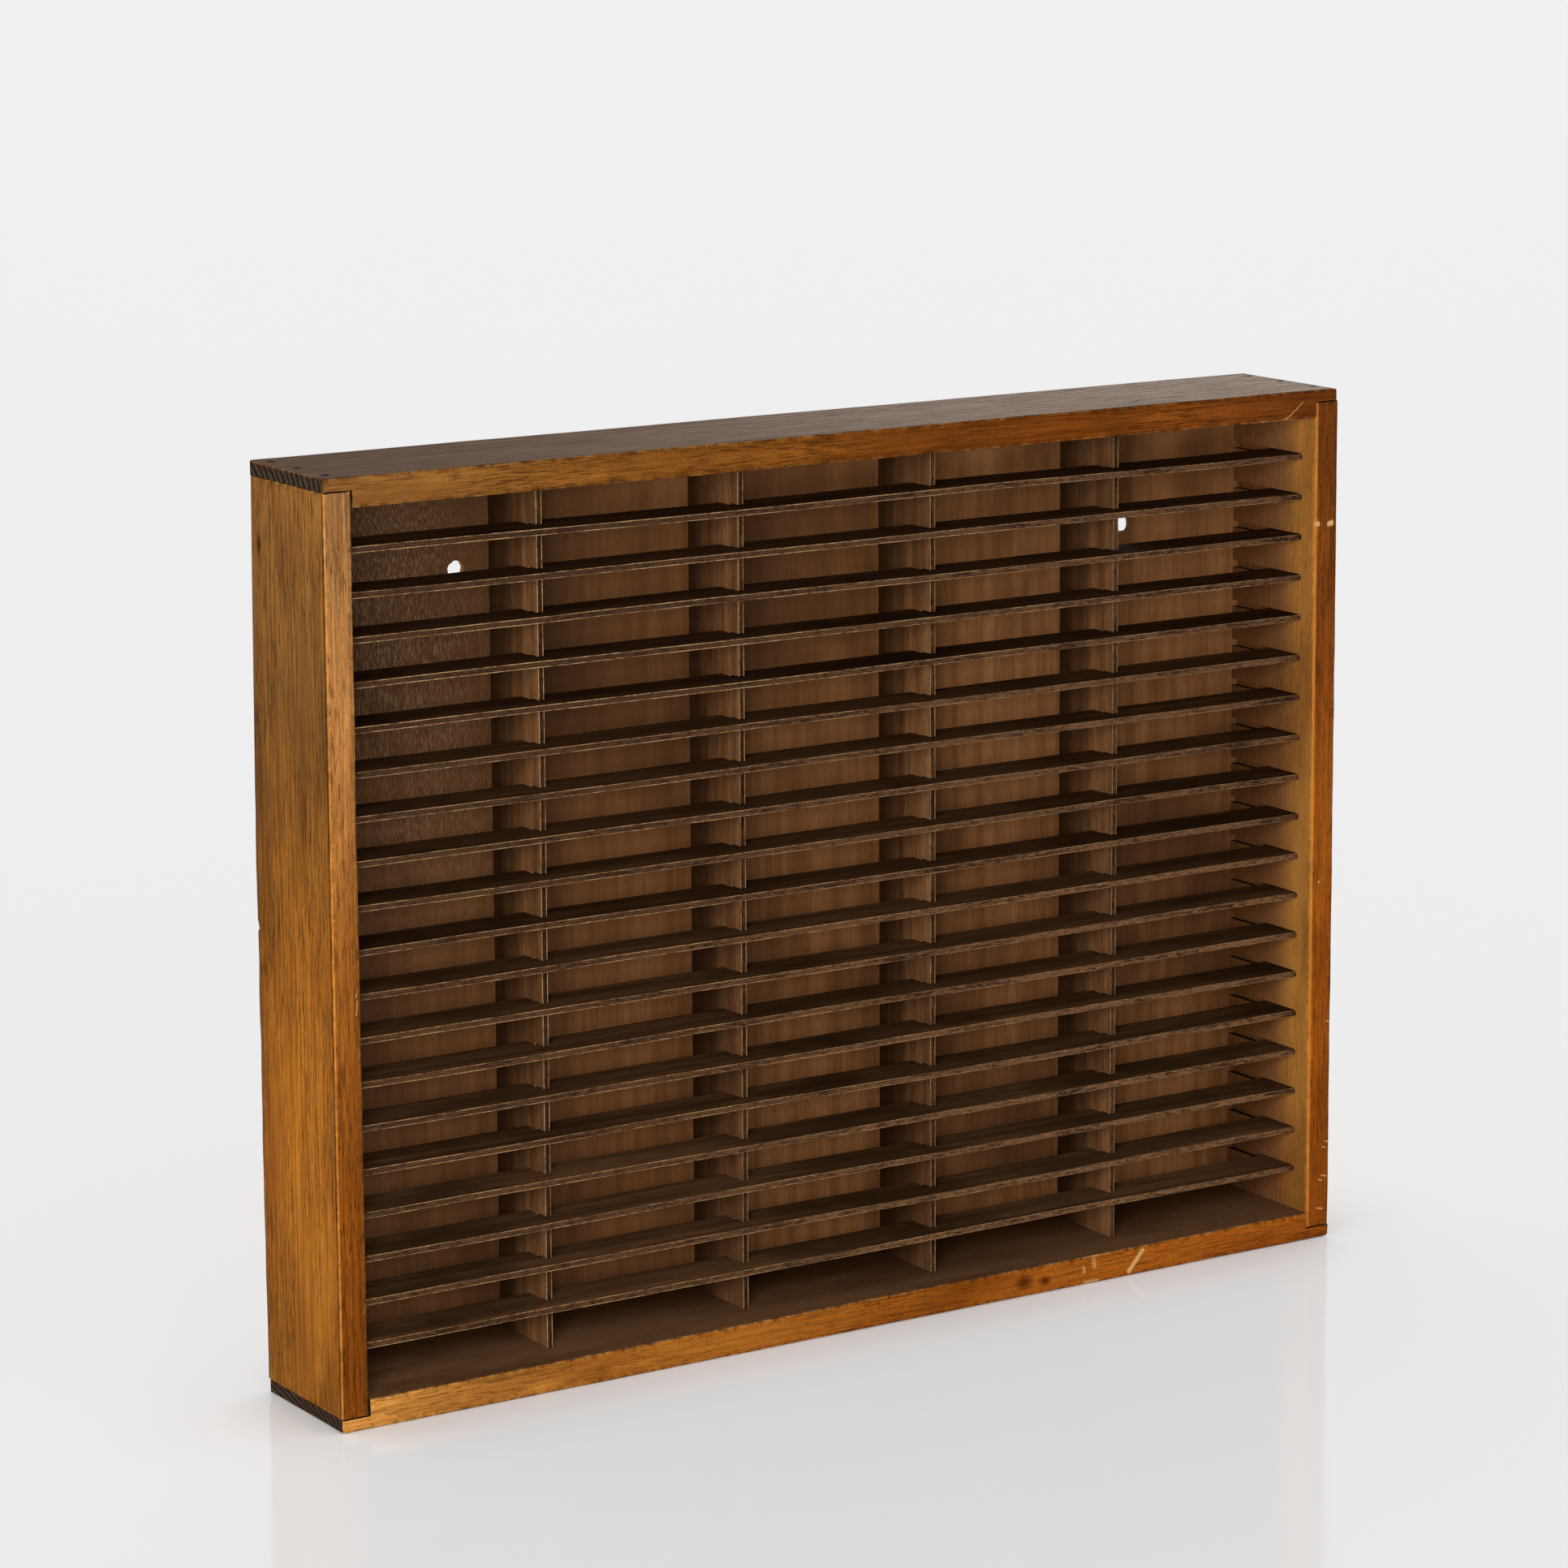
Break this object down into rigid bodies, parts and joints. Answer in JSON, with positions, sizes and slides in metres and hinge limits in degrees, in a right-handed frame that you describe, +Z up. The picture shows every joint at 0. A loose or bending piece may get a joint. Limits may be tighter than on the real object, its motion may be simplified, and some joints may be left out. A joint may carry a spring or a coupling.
{
  "type": "compartment wall rack",
  "caption": "Shallow wooden wall rack with rows of narrow slots between plywood shelf strips and upright dividers, open at the front.",
  "frame": {"origin": "middle of the underside: centre of the bounding box at its lowest level", "axes": "+X across the width to the right, +Y from the open front to the back, +Z up"},
  "size_m": [0.604, 0.08, 0.465],
  "materials": {
    "pine_frame": "worn satin stain, straight softwood grain",
    "plywood_shelf": "stained three-ply, pale glue lines on the cut edges",
    "plywood_divider": "stained three-ply, upright grain",
    "plywood_back": "matte stained plywood, upright grain",
    "nail_steel": "dull, darkened wire nail"
  },
  "bodies": {
    "root": {"top_board": "pine_frame", "bottom_board": "pine_frame", "left_side": "pine_frame", "right_side": "pine_frame", "back_panel": "plywood_back", "divider_1": "plywood_divider", "divider_2": "plywood_divider", "divider_3": "plywood_divider", "divider_4": "plywood_divider", "shelf_01": "plywood_shelf", "shelf_02": "plywood_shelf", "shelf_03": "plywood_shelf", "shelf_04": "plywood_shelf", "shelf_05": "plywood_shelf", "shelf_06": "plywood_shelf", "shelf_07": "plywood_shelf", "shelf_08": "plywood_shelf", "shelf_09": "plywood_shelf", "shelf_10": "plywood_shelf", "shelf_11": "plywood_shelf", "shelf_12": "plywood_shelf", "shelf_13": "plywood_shelf", "shelf_14": "plywood_shelf", "shelf_15": "plywood_shelf", "shelf_16": "plywood_shelf", "shelf_17": "plywood_shelf", "shelf_18": "plywood_shelf", "shelf_19": "plywood_shelf", "top_nails": "nail_steel", "bottom_nails": "nail_steel"}
  },
  "joints": []
}
